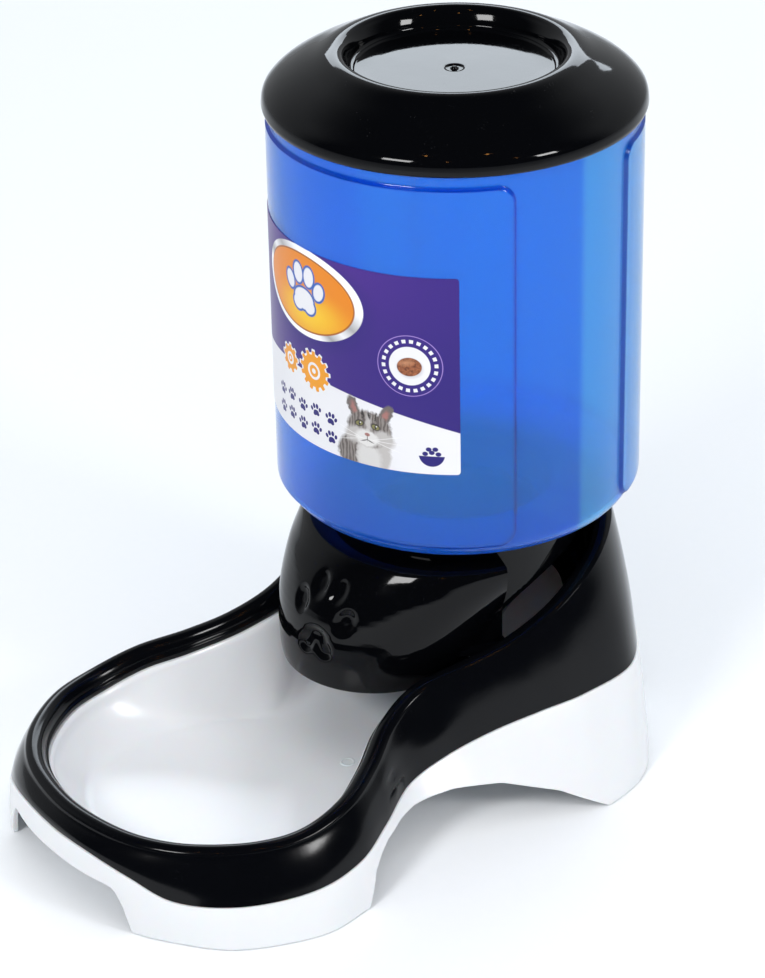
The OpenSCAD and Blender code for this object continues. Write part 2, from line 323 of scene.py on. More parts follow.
def makeMouldedSkin():
    # the faint waviness of a polished mould, with cloudy patches of haze
    group, taken, given = newGroup(
        "mouldedSkin", {"Place": None, "Wave": 1.0, "Shine": 0.1, "Haze": 0.06},
        ("Height", "Roughness"))
    place = taken["Place"]
    waves = plus(noise(place, 34, 2, 0.45), times(noise(place, 420), 0.05))
    haze = times(remap(noise(place, 21, 4, 0.6), 0.25, 0.8, 0, 1), taken["Haze"])
    fill(given, {"Height": times(waves, taken["Wave"]), "Roughness": plus(taken["Shine"], haze)})
    return group


def makeFineDust():
    # sparse specks that settle on faces that look up, and short hairline scuffs
    group, taken, given = newGroup(
        "fineDust", {"Place": None, "Amount": 0.5, "Size": 900.0}, ("Dust", "Scuff"))
    place, amount = taken["Place"], taken["Amount"]
    specks = fill(addNode(group, "ShaderNodeTexVoronoi"), {"Vector": place, "Scale": taken["Size"]})
    dots = remap(specks.outputs["Distance"], 0.1, 0.2, 1, 0, True)
    chosen = remap(noise(place, 130, 3, 0.6), 0.58, 0.68, 0, 1, True)
    facing = split(addNode(group, "ShaderNodeNewGeometry").outputs["Normal"])
    dust = times(times(dots, chosen), remap(facing["Z"], 0.2, 0.95, 0.1, 1))
    stretched = fill(addNode(group, "ShaderNodeMapping"), {
        "Scale": (1.0, 0.02, 0.3), "Rotation": (0.3, 0.2, 0.7), "Vector": place}).outputs[0]
    scuff = times(remap(noise(stretched, 3200, 1), 0.68, 0.76, 0, 1, True),
                  remap(noise(place, 26), 0.52, 0.66, 0, 1, True))
    fill(given, {"Dust": times(dust, amount, clamp=True),
                 "Scuff": times(scuff, amount, clamp=True)})
    return group


mouldedSkin = makeMouldedSkin()
fineDust = makeFineDust()


def startMaterial(name):
    material = bpy.data.materials.new(name)
    material.use_nodes = True
    tree = material.node_tree
    return material, tree, tree.nodes["Principled BSDF"]


def addBump(shader, height, distance):
    bump = addNode(shader.id_data, "ShaderNodeBump")
    fill(bump, {"Strength": 1.0, "Distance": distance, "Height": height})
    fill(shader, {"Normal": bump.outputs["Normal"]})


def glossyPlastic(name, base, dusty, shine, haze, wave, dustAmount, ior=1.5):
    material, tree, shader = startMaterial(name)
    place = objectPlace(tree)
    skin = useGroup(tree, mouldedSkin, Place=place, Wave=wave, Shine=shine, Haze=haze)
    dust = useGroup(tree, fineDust, Place=place, Amount=dustAmount)
    worn = plus(times(dust["Dust"], 0.5), times(dust["Scuff"], 0.12), clamp=True)
    fill(shader, {"Base Color": blend(worn, base, dusty), "IOR": ior,
                  "Roughness": plus(skin["Roughness"], times(worn, 0.35), clamp=True)})
    addBump(shader, skin["Height"], 0.00012)
    return material


greyDust = (0.12, 0.12, 0.13, 1)
blackGloss = glossyPlastic("blackGloss", (0.0012, 0.0014, 0.002, 1), greyDust,
                           shine=0.035, haze=0.05, wave=1.0, dustAmount=0.4, ior=1.3)
blackSatin = glossyPlastic("blackSatin", (0.0014, 0.0017, 0.0026, 1), greyDust,
                           shine=0.1, haze=0.08, wave=1.4, dustAmount=0.35, ior=1.3)
whiteGloss = glossyPlastic("whiteGloss", (0.73, 0.745, 0.765, 1), (0.55, 0.53, 0.5, 1),
                           shine=0.24, haze=0.03, wave=1.0, dustAmount=0.06)
fill(whiteGloss.node_tree.nodes["Principled BSDF"],
     {"Subsurface Weight": 0.15, "Subsurface Scale": 0.004})
print("plastics ready")


lidShape = {"recess": 40.0, "crown": 307.5, "recessFloor": 299.0, "steps": 224}


def makeLid():
    rim, floor, crown = lidShape["recess"], lidShape["recessFloor"], lidShape["crown"]
    dome = smoothLine([
        (75.7, lidZ), (76.25, lidZ + 0.9), (76.4, lidZ + 2.6), (75.3, lidZ + 6.5),
        (70.8, lidZ + 11), (rim + 24, lidZ + 15.2), (rim + 16.6, lidZ + 18.8),
        (rim + 10.5, crown - 0.7), (rim + 6.6, crown), (rim + 4, crown - 1.2),
        (rim + 2.1, crown - 4.6), (rim + 1.4, floor + 1.6), (rim + 0.9, floor + 0.95)], 5)
    step = [(rim + 0.4, floor + 0.8), (rim - 0.1, floor + 0.75), (rim - 0.5, floor + 0.35),
            (rim - 0.7, floor + 0.06), (rim - 1.1, floor), (rim - 8, floor), (rim - 20, floor),
            (9, floor), (5, floor)]
    gate = smoothLine([(4.3, floor), (3.9, floor - 0.1), (3.5, floor - 0.5), (2.6, floor - 0.62),
                       (1.6, floor - 0.55), (1.2, floor - 0.1), (1.0, floor + 0.35),
                       (0.55, floor + 0.55), (0, floor + 0.58)], 3)
    under = [(0, floor - 2), (rim, floor - 2), (rim + 4, crown - 3.6), (rim + 9.5, crown - 3),
             (rim + 16, lidZ + 17), (rim + 23.5, lidZ + 13.3), (69.6, lidZ + 8.9),
             (69.6, mouthZ - 5.6), (69.9, mouthZ - 6), (71.0, mouthZ - 6), (71.3, mouthZ - 5.6),
             (71.3, mouthZ + 0.1), (74.0, mouthZ + 0.1), (74.2, lidZ + 3), (74.2, lidZ + 0.4),
             (74.5, lidZ)]
    piece = lathe("lidShell", [tuple(p) for p in dome] + step + [tuple(p) for p in gate] + under,
                  lidShape["steps"])
    return smoothShade(piece)


delivered(makeLid(), blackGloss, "lid", "black_gloss", "lid")


hopperShape = {"radius": 73.6, "seat": 117.0, "wall": 1.8, "round": 9.0, "rise": 1.5, "corner": 7.0,
               "neck": 40.0, "floor": 2.2, "panelLow": 124.0, "panelHigh": lidZ - 5.5,
               "halfAngles": (69.5, 66.0), "blend": 0.55,
               "light": (0.016, 0.33, 1.0, 1), "deep": (0.005, 0.18, 0.95, 1),
               # the last two tones are painted light: a paler blue for reflected light on the rear
               # panel, and a dark blue for shade along the panel edges
               "pale": (0.13, 0.62, 1.0, 1), "edgeShadeTone": (0.002, 0.05, 0.62, 1)}


def panelMiddle():
    low, high = hopperShape["panelLow"], hopperShape["panelHigh"]
    return (low + high) / 2, (high - low) / 2


def panelMask(angle, z):
    # 1 on a raised panel, 0 between the panels; the angle runs from the front towards +X
    s = hopperShape
    share = np.zeros(np.broadcast(angle, z).shape)
    middle, halfHigh = panelMiddle()
    for centre, half in zip((0, 180), s["halfAngles"]):
        away = np.abs((angle - centre + 180) % 360 - 180)
        across = np.radians(away) * s["radius"] - np.radians(half) * s["radius"] + s["corner"]
        up = np.abs(z - middle) - halfHigh + s["corner"]
        edge = (np.hypot(np.maximum(across, 0), np.maximum(up, 0))
                + np.minimum(np.maximum(across, up), 0) - s["corner"])
        share = np.maximum(share, 1 - ease(edge, -s["blend"] - 0.2, s["blend"] - 0.2))
    return share


def hopperColumns():
    angles = set(np.round(np.arange(-180, 180, 2.5), 3))
    front, rear = hopperShape["halfAngles"]
    for edge, inward in ((front, -1), (180 - rear, 1)):  # closer together at the panels' edges
        for k in range(19):
            a = edge + inward * (-1.2 + k * 0.4)
            angles.update((round(a, 3), round(-a, 3)))
    return apart(angles, 0.12)


def makeHopper():
    s = hopperShape
    angles = hopperColumns()
    outR, wall, seat = s["radius"], s["wall"], s["seat"]

    def bendLine(inset):
        r = s["round"] - inset
        return [(outR - s["round"] + r * math.sin(a), seat + s["round"] - r * math.cos(a))
                for a in np.linspace(0, math.pi / 2, 13)]

    bend = bendLine(0)
    heights = sorted(set(np.round(np.concatenate([
        np.arange(126.5, 133, 0.65), np.arange(133, 271, 6), np.arange(271, 281.5, 0.65),
        [283, 286, mouthZ - 0.5]]), 3)))
    outline = ([(s["neck"], seat - 17), (s["neck"], seat - 8), (s["neck"], seat - 0.6),
                (s["neck"] + 0.6, seat), (50, seat)] + bend
               + [(outR, z) for z in heights]
               + [(outR - 0.15, mouthZ - 0.12), (outR - 0.5, mouthZ), (outR - wall + 0.5, mouthZ),
                  (outR - wall + 0.12, mouthZ - 0.15), (outR - wall, mouthZ - 0.5)]
               + [(outR - wall, z) for z in np.arange(284, 127, -12)] + bendLine(wall)[::-1]
               + [(60, seat + s["floor"]), (44, seat + s["floor"] - 0.1), (39.4, seat + 1.6),
                  (38.3, seat + 0.6), (38, seat - 1), (38, seat - 17)])
    sideRows = range(5 + 6, 5 + len(bend) + len(heights))  # the rows that carry the panels
    rows = []
    for k, (r, z) in enumerate(outline):
        radii = np.full(len(angles), float(r))
        if k in sideRows:
            radii = radii + s["rise"] * panelMask(angles, z)
        t = np.radians(angles)
        rows.append(np.stack([radii * np.sin(t), -radii * np.cos(t), np.full(len(t), z)], 1))
    shell = gridSkin("hopperShell", rows, closed=True)
    lugs = [lathe("lug", [(39.2, seat - 17), (42.4, seat - 17), (42.6, seat - 16.8),
                          (42.6, seat - 14.2), (42.4, seat - 14), (39.2, seat - 14)],
                  12, 120 * k - 12, 24) for k in range(3)]
    return joined("hopperShell", [shell] + lugs)


def makePanelEdge():
    # how far a place on the wall lies outside a panel with rounded corners
    group, taken, given = newGroup(
        "panelEdge", {"Away": 0.0, "Height": 0.0, "HalfWide": 90.0}, ["Outside"])
    corner = hopperShape["corner"]
    middle, halfHigh = panelMiddle()
    across = plus(minus(taken["Away"], taken["HalfWide"]), corner)
    tall = plus(calc("ABSOLUTE", minus(taken["Height"], middle)), corner - halfHigh)
    far = length(calc("MAXIMUM", across, 0.0), calc("MAXIMUM", tall, 0.0))
    near = calc("MINIMUM", calc("MAXIMUM", across, tall), 0.0)
    fill(given, {"Outside": minus(plus(far, near), corner)})
    return group


def makeClearBlue():
    material, tree, shader = startMaterial("clearBlue")
    place, radius = objectPlace(tree, True), hopperShape["radius"]
    skin = useGroup(tree, mouldedSkin, Place=place, Wave=0.8, Shine=0.11, Haze=0.06)
    streak = noise(objectPlace(tree, True, (1, 1, 0.12)), 16, 3)
    x, y, z = split(place)
    high = times(z, 1000.0)
    turn = calc("ABSOLUTE", calc("ARCTAN2", x, times(y, -1.0)))
    around = times(turn, radius)
    panelEdge = makePanelEdge()
    front, rear = (useGroup(tree, panelEdge, Away=away, Height=high,
                            HalfWide=math.radians(half) * radius)["Outside"]
                   for away, half in zip((around, minus(math.pi * radius, around)),
                                         hopperShape["halfAngles"]))
    # painted shade: a dark blue line along each panel edge, standing in for the refraction at the
    # raised step
    edgeShadeLines = [times(remap(edge, -1.3, -0.5, 0, 1, True), remap(edge, 0.1, 0.9, 1, 0, True))
             for edge in (front, rear)]
    # painted reflection: the rear panel and a strip beside it are painted a paler blue, standing in
    # for studio light reflected in the wall
    reflectionStrip = times(remap(turn, 1.6, 1.66, 0, 1, True), remap(turn, 1.9, 2.06, 1, 0, True))
    pale = plus(times(remap(rear, -0.8, 0.2, 1, 0, True), 0.55), times(reflectionStrip, 0.75), clamp=True)
    low = remap(high, 117, 158, 1, 0, True)
    tone = plus(times(low, 0.5), remap(streak, 0.3, 0.7, 0, 0.3), clamp=True)
    blue = blend(tone, hopperShape["light"], hopperShape["deep"])
    blue = blend(pale, blue, hopperShape["pale"])
    blue = blend(times(calc("MAXIMUM", *edgeShadeLines), 0.8), blue, hopperShape["edgeShadeTone"])
    ground = remap(high, 117, 123, 0.42, 0, True)  # the floor of the jar is hazier
    fill(shader, {"Base Color": blue, "Roughness": plus(skin["Roughness"], ground, clamp=True),
                  "Transmission Weight": 0.74, "IOR": 1.42})
    addBump(shader, skin["Height"], 0.00015)
    return material


delivered(smoothShade(makeHopper(), 50), makeClearBlue(), "hopper", "clear_blue", "hopper")


labelShape = {
    "radius": 75.14, "thick": 0.24, "halfAngle": 52.5, "low": 158.0, "high": 243.0, "corner": 1.4,
    "seal": (49.3, 204.9), "cat": (31.0, 174.5), "bowl": (57.6, 165.4)}
inks = {
    "purple": (0.062, 0.014, 0.24, 1), "deep": (0.014, 0.008, 0.15, 1),
    "lilac": (0.13, 0.045, 0.27, 1), "white": (0.74, 0.74, 0.77, 1),
    "orange": (0.72, 0.22, 0.008, 1), "yellow": (0.82, 0.5, 0.02, 1), "gear": (0.76, 0.3, 0.01, 1),
    "seam": (0.34, 0.1, 0.01, 1), "blue": (0.02, 0.1, 0.42, 1), "hoop": (0.45, 0.3, 0.75, 1),
    "shade": (0.3, 0.28, 0.3, 1), "food": (0.13, 0.035, 0.012, 1),
    "foodLight": (0.33, 0.11, 0.045, 1), "foodShine": (0.6, 0.3, 0.16, 1),
    "stripe": (0.11, 0.093, 0.088, 1), "fur": (0.24, 0.215, 0.2, 1),
    "pale": (0.46, 0.44, 0.43, 1), "chest": (0.6, 0.59, 0.58, 1), "muzzle": (0.66, 0.65, 0.64, 1),
    "mid": (0.14, 0.12, 0.115, 1), "dark": (0.03, 0.026, 0.025, 1), "pink": (0.33, 0.15, 0.135, 1),
    "green": (0.2, 0.19, 0.07, 1), "whisker": (0.93, 0.93, 0.93, 1)}
# across, up, half across, half up, turn, softness and ink of each part of the cat
catFur = [
    (-3.2, -12.5, 10.6, 9.5, 0, 1.4, "tabby"),  # shoulders
    (2.6, -11.5, 7.6, 9, -0.2, 1.6, "pale"), (0.6, -13.5, 5.2, 8, 0.1, 2.4, "chest"),
    (-6.2, 8, 2.5, 5, 0.32, 0.6, "mid"), (8.2, 7.2, 2.5, 4.6, -0.42, 0.6, "mid"),  # ears
    (-5.9, 7.2, 1.2, 3.2, 0.32, 0.9, "pink"), (7.8, 6.5, 1.2, 2.9, -0.42, 0.9, "pink"),
    (0.8, -0.4, 9.9, 7.9, 0, 1.2, "tabby"),  # head, cheeks, blaze and muzzle
    (-5.8, -4, 4.6, 3.6, 0.4, 1.8, "pale"), (7.2, -3.8, 4.6, 3.6, -0.4, 1.8, "pale"),
    (0.6, 1, 1.3, 5.6, 0, 1.2, "pale"), (-0.3, -4.6, 5.2, 3.7, 0, 1.2, "muzzle"),
    (-2, 5.6, 0.45, 2, 0.12, 0.4, "dark"), (1, 6, 0.45, 2, 0, 0.4, "dark"),  # brow marks
    (3.8, 5.5, 0.45, 2, -0.12, 0.4, "dark")]
catFace = [
    (-3.5, 1.5, 2.1, 1.45, 0.25, 0.5, "dark"), (3.7, 1.2, 2.1, 1.45, -0.25, 0.5, "dark"),  # eyes
    (-3.5, 1.4, 1.6, 1, 0.25, 0.3, "green"), (3.7, 1.1, 1.6, 1, -0.25, 0.3, "green"),
    (-3.4, 1.4, 0.42, 0.95, 0, 0.25, "dark"), (3.7, 1.1, 0.42, 0.95, 0, 0.25, "dark"),
    (-3, 1.8, 0.28, 0.28, 0, 0.2, "white"), (4.1, 1.5, 0.28, 0.28, 0, 0.2, "white"),
    (0, -2.9, 1.15, 0.75, 0, 0.3, "pink"), (0, -4.5, 0.16, 1.2, 0, 0.2, "dark"),  # nose and mouth
    (-1.3, -5.7, 1.5, 0.22, 0.35, 0.25, "dark"), (1.3, -5.7, 1.5, 0.22, -0.35, 0.25, "dark")]


def makeLabel():
    s = labelShape
    radius = s["radius"]
    half = math.radians(s["halfAngle"]) * radius
    clearSelection()
    bpy.ops.mesh.primitive_plane_add(size=2)
    piece = renameNew("labelFilm")
    for v in piece.data.vertices:
        v.co = Vector((v.co.x * half, 0 if v.co.y < 0 else s["high"] - s["low"], 0))
    editAll()
    bpy.ops.mesh.bevel(offset=s["corner"], segments=5, affect="VERTICES")
    for k in range(1, 84):  # upright cuts, so that the film can follow the wall
        bpy.ops.mesh.select_all(action="SELECT")
        bpy.ops.mesh.bisect(plane_co=(half * (k / 42 - 1), 0, 0), plane_no=(1, 0, 0))
    endEdit()
    for v in piece.data.vertices:
        t = v.co.x / radius
        v.co = Vector((math.sin(t) * radius, -math.cos(t) * radius, s["low"] + v.co.y)) * mm
        v.co.y += axisY
    weld(piece)
    film = piece.modifiers.new("film", "SOLIDIFY")
    film.thickness = s["thick"] * mm
    film.offset = 1
    pick(piece)
    bpy.ops.object.modifier_apply(modifier="film")
    return smoothShade(weld(piece), 30)


spotInputs = {"Across": 0.0, "Up": 0.0, "MidAcross": 0.0, "MidUp": 0.0}


def fromMiddle(taken):
    return minus(taken["Across"], taken["MidAcross"]), minus(taken["Up"], taken["MidUp"])


def turnBy(dx, dy, turn):
    c, s = calc("COSINE", turn), calc("SINE", turn)
    return plus(times(dx, c), times(dy, s)), minus(times(dy, c), times(dx, s))


def makeOvalSpot():
    group, taken, given = newGroup(
        "ovalSpot", dict(spotInputs, HalfAcross=1.0, HalfUp=1.0, Turn=0.0, Soft=0.2),
        ("Mask", "Reach"))
    x, y = turnBy(*fromMiddle(taken), taken["Turn"])
    halfX, halfY = taken["HalfAcross"], taken["HalfUp"]
    reach = length(calc("DIVIDE", x, halfX), calc("DIVIDE", y, halfY))
    inside = times(minus(1.0, reach), calc("MINIMUM", halfX, halfY))
    fill(given, {"Mask": softEdge(inside, taken["Soft"]), "Reach": reach})
    return group


ovalSpot = makeOvalSpot()


def makePawSpot():
    # a paw print of ovals, made 10 across and then sized
    group, taken, given = newGroup(
        "pawSpot", dict(spotInputs, Size=1.0, Turn=0.0, Grow=0.0), ["Mask"])
    dx, dy = (calc("DIVIDE", d, taken["Size"]) for d in fromMiddle(taken))
    x, y = turnBy(dx, dy, taken["Turn"])
    spots = [useGroup(group, ovalSpot, Across=x, Up=y, MidAcross=midX, MidUp=midY,
                      HalfAcross=plus(taken["Grow"], halfX), HalfUp=plus(taken["Grow"], halfY),
                      Turn=turn, Soft=0.18)["Mask"]
             for midX, midY, halfX, halfY, turn in (
                 (0, -1.5, 2.6, 1.9, 0), (-1.5, -2.5, 1.4, 1.3, 0), (1.5, -2.5, 1.4, 1.3, 0),
                 (-3.9, 0.9, 1.15, 1.6, 0.35), (-1.45, 2.9, 1.25, 1.8, 0.1),
                 (1.45, 2.9, 1.25, 1.8, -0.1), (3.9, 0.9, 1.15, 1.6, -0.35))]
    union = spots[0]
    for spot in spots[1:]:
        union = calc("MAXIMUM", union, spot)
    fill(given, {"Mask": union})
    return group


pawSpot = makePawSpot()


def makeGearSpot():
    group, taken, given = newGroup(
        "gearSpot", dict(spotInputs, Radius=8.0, Teeth=12.0, Grow=0.0), ("Mask", "Ring"))
    dx, dy = fromMiddle(taken)
    far, radius = length(dx, dy), taken["Radius"]
    wave = calc("SINE", times(calc("ARCTAN2", dy, dx), taken["Teeth"]))
    edge = plus(times(radius, remap(wave, -0.45, 0.45, 0.8, 1.0, True)), taken["Grow"])
    off = calc("ABSOLUTE", minus(far, times(radius, 0.36)))
    fill(given, {"Mask": softEdge(minus(edge, far), 0.25),
                 "Ring": softEdge(minus(0.55, off), 0.25)})
    return group


gearSpot = makeGearSpot()


def makeLabelPrint():
    material, tree, shader = startMaterial("labelPrint")
    place = objectPlace(tree, True)
    x, y, z = split(place)
    across = times(calc("ARCTAN2", x, times(y, -1.0)), labelShape["radius"])
    up = times(z, 1000.0)
    deep, white = inks["deep"], inks["white"]

    def oval(midX, midY, halfX, halfY, turn=0.0, soft=0.25, u=across, v=up, gives="Mask"):
        return useGroup(tree, ovalSpot, Across=u, Up=v, MidAcross=midX, MidUp=midY,
                        HalfAcross=halfX, HalfUp=halfY, Turn=turn, Soft=soft)[gives]

    def stamp(group, midX, midY, **sizes):
        return useGroup(tree, group, Across=across, Up=up, MidAcross=midX, MidUp=midY, **sizes)

    def paint(mask, tone, share=1.0):
        nonlocal ink
        ink = blend(times(mask, share) if share < 1 else mask, ink, tone)

    # purple field, lighter at the top left, with a darker sweep below
    ink = blend(remap(across, -55, 10, 0, 1, True), inks["lilac"], inks["purple"])
    paint(remap(plus(up, times(across, 0.32)), 214, 262, 0.55, 0, True), deep)
    paint(remap(across, 8, 68, 0, 0.6, True), deep)
    # white band below a low hump
    hump = times(calc("POWER", calc("ABSOLUTE", plus(across, 8.0)), 2.0), 0.0022)
    paint(softEdge(minus(minus(189.4, hump), up), 0.3), white)

    # oval badge: shadow, silver rim, orange field with a warm glow, and a white paw edged in blue
    paint(oval(-0.5, 223.0, 33.5, 21.0, soft=6.0), deep, 0.45)
    shine = remap(plus(times(across, 0.55), up), 200, 240, 0, 1)
    silver = fill(addNode(tree, "ShaderNodeValToRGB"), {0: shine})
    stops = silver.color_ramp.elements
    stops[0].color, stops[1].color = (0.85, 0.86, 0.9, 1), (0.92, 0.93, 0.95, 1)
    for at, tone in ((0.28, 0.95), (0.42, 0.32), (0.58, 0.8), (0.74, 0.36)):
        stops.new(at).color = (tone, tone, tone * 1.03, 1)
    paint(oval(-1.0, 224.3, 31.4, 19.0), silver.outputs[0])
    paint(oval(-1.6, 224.0, 28.2, 16.6), inks["seam"])
    glow = remap(oval(2, 216, 26, 13, gives="Reach"), 0.1, 1.1, 1, 0, True)
    paint(oval(-1.6, 224.0, 27.5, 15.9), blend(glow, inks["orange"], inks["yellow"]))
    for grow, tone in ((0.42, inks["blue"]), (0.0, white)):
        paint(stamp(pawSpot, -1.0, 224.6, Size=2.35, Grow=grow)["Mask"], tone)

    # two gears with a white edge
    for midX, midY, radius, teeth in ((-12.8, 190.3, 6.0, 9.0), (4.2, 191.3, 8.7, 13.0)):
        paint(stamp(gearSpot, midX, midY, Radius=radius, Teeth=teeth, Grow=0.9)["Mask"], white)
        gear = stamp(gearSpot, midX, midY, Radius=radius, Teeth=teeth)
        paint(gear["Mask"], inks["gear"])
        paint(gear["Ring"], white)
        paint(oval(midX, midY, radius * 0.13, radius * 0.13), white)

    # round seal: thin ring, ring of dashes, white disc with one piece of food
    sealX, sealY = labelShape["seal"]
    reach = oval(sealX, sealY, 1.0, 1.0, gives="Reach")

    def hoop(radius, half):
        return softEdge(minus(half, calc("ABSOLUTE", minus(reach, radius))), 0.22)

    paint(hoop(13.0, 0.16), inks["hoop"], 0.7)
    around = calc("ARCTAN2", minus(up, sealY), minus(across, sealX))
    dash = remap(calc("SINE", times(around, 22.0)), -0.25, 0.05, 0, 1, True)
    paint(times(hoop(10.6, 0.75), dash), white)
    paint(oval(sealX, sealY, 8.3, 8.3), white)
    paint(oval(sealX + 0.2, sealY - 1.0, 5.2, 4.3, soft=1.2), inks["shade"], 0.35)
    food = blend(remap(noise(place, 900), 0.35, 0.65, 0, 1), inks["food"], inks["foodLight"])
    paint(oval(sealX - 0.1, sealY - 0.4, 5.0, 4.0, 0.12), food)
    paint(oval(sealX - 1.2, sealY + 1.2, 2.6, 1.1, 0.2, 1.4), inks["foodShine"], 0.5)

    # a sitting tabby cat; its fur is drawn with ruffled edges
    ruffle = times(minus(noise(place, 620, 3), 0.5), 2.6)
    furU, furV = plus(across, ruffle), plus(up, times(ruffle, 0.8))
    stripes = fill(addNode(tree, "ShaderNodeTexWave"), {
        "Vector": objectPlace(tree, True, (1, 1, 0.45)),
        "Scale": 210, "Distortion": 12, "Detail": 3})
    tabby = blend(remap(stripes.outputs["Fac"], 0.1, 0.9, 0, 1, True), inks["stripe"], inks["fur"])
    catX, catY = labelShape["cat"]
    for parts, u, v in ((catFur, furU, furV), (catFace, across, up)):
        for dx, dy, halfX, halfY, turn, soft, tone in parts:
            paint(oval(catX + dx, catY + dy, halfX, halfY, turn, soft, u, v),
                  tabby if tone == "tabby" else inks[tone])
    for side in (-1, 1):
        for lift in (-0.28, 0.0, 0.28):
            paint(oval(catX + side * 8.0, catY - 4.9 + lift * 6, 5.2, 0.12, side * lift, 0.16),
                  inks["whisker"], 0.6)

    # two rows of small paws, and a bowl of food
    for row, tilt in ((173.6, 0.12), (165.4, -0.12)):
        for k in range(5):
            lift, lean = (0.5, tilt) if k % 2 else (-0.4, -tilt)
            paint(stamp(pawSpot, -21.0 + 8.6 * k, row + lift, Size=0.62, Turn=lean)["Mask"], deep)
    bowlX, bowlY = labelShape["bowl"]
    cup = times(oval(bowlX, bowlY + 1.4, 5.2, 5.4), softEdge(minus(bowlY + 0.6, up), 0.25))
    paint(cup, deep)
    for dx, dy in ((-2.6, 1.6), (0.0, 2.2), (2.6, 1.6), (-1.2, 3.6), (1.4, 3.7)):
        paint(oval(bowlX + dx, bowlY + dy, 1.15, 0.95), deep)
    skin = useGroup(tree, mouldedSkin, Place=place, Wave=0.6, Shine=0.3, Haze=0.05)
    fill(shader, {"Base Color": ink, "Roughness": skin["Roughness"], "IOR": 1.38})
    addBump(shader, skin["Height"], 0.00006)
    return material


delivered(makeLabel(), makeLabelPrint(), "hopper", "label_film", "front_label")


hoodShape = {
    # height, centre towards the front, radius
    "levels": [(51, 44, 38.5), (51.7, 43.7, 39.8), (53, 43.2, 40.6), (58, 41, 43), (68, 37, 46.5),
               (80, 30, 51), (92, 19, 56.5), (99, 11, 59.5), (103.5, 6, 60.8), (105.4, 4.4, 60.2),
               (106, 3.6, 58.8)],
    "wall": 2.2, "backRadius": 52.6, "backStart": -20.0, "backTurn": 220.0, "top": 106.0,
    "seat": 116.7, "shelf": 66.0, "socket": 40.3, "lugRoom": 42.9}
pawPress = {
    # across, up, half across, half up, turn; pressed in round a middle a little off the centre line
    "middle": (8.5, 0), "depth": 1.5, "scoop": 0.62,
    "toes": [(-12.2, 84.6, 4.6, 6.0, 0.3), (-5.0, 93.0, 4.7, 6.2, 0.1), (5.0, 93.0, 4.7, 6.2, -0.1),
             (12.0, 82.6, 5.3, 6.6, -0.3)],
    "pad": [(0, 73.6, 8.6, 5.6, 0), (-4.9, 68.2, 5.2, 4.6, 0.2), (4.9, 68.2, 5.2, 4.6, -0.2)]}


def pressedPaw(x, z, y):
    def reachOf(midX, midZ, halfX, halfZ, turn):
        dx, dz = x - pawPress["middle"][0] - midX, z - midZ
        c, s = math.cos(turn), math.sin(turn)
        return np.hypot((dx * c + dz * s) / halfX, (dz * c - dx * s) / halfZ)

    share = np.zeros(x.shape)
    for toe in pawPress["toes"]:
        inside = (1 - reachOf(*toe)) * min(toe[2], toe[3])
        share = np.maximum(share, ease(inside, -0.35, pawPress["scoop"] * min(toe[2], toe[3])))
    lobes = sum(np.exp(-2 * reachOf(*lobe) ** 2) for lobe in pawPress["pad"])
    share = np.maximum(share, ease(lobes, 0.12, 0.85))
    return np.where(y < -40, share, 0) * pawPress["depth"]


def hoodRow(z, centre, radius, inset, pressed):
    s = hoodShape
    r = radius - inset
    sector = s["backStart"] - (2.4 if inset else 0)
    k = math.tan(math.radians(-sector))
    reach = math.hypot(1, k)
    last = 90 - math.degrees(math.atan(k)) + math.degrees(math.asin(min(1, centre / (reach * r))))
    front = np.concatenate([np.linspace(-last, -62, 13)[:-1], np.arange(-62, -24, 2.0),
                            np.arange(-24, 44, 0.85), np.arange(44, 62, 2.0),
                            np.linspace(62, last, 13)])
    back = np.linspace(last, 360 - last, 60)
    a = np.radians(np.concatenate([front, back]))
    x, y = r * np.sin(a), -centre - r * np.cos(a)
    limit = s["backRadius"] - (2.1 if inset else 0.5)
    far = np.hypot(x, y)
    shrink = np.where(np.arange(len(a)) >= len(front), np.minimum(1, limit / far), 1)
    x, y = x * shrink, y * shrink
    turned = np.degrees(np.abs((a + math.pi) % (2 * math.pi) - math.pi))
    low = 1 - ease(z, s["levels"][0][0], 80)
    heights = z - 19 * ease(turned, 85, 180) * low
    if pressed:
        pull = pressedPaw(x, heights, y)
        x, y = x - pull * np.sin(a), y + pull * np.cos(a)
    return np.stack([x, y, heights], 1)


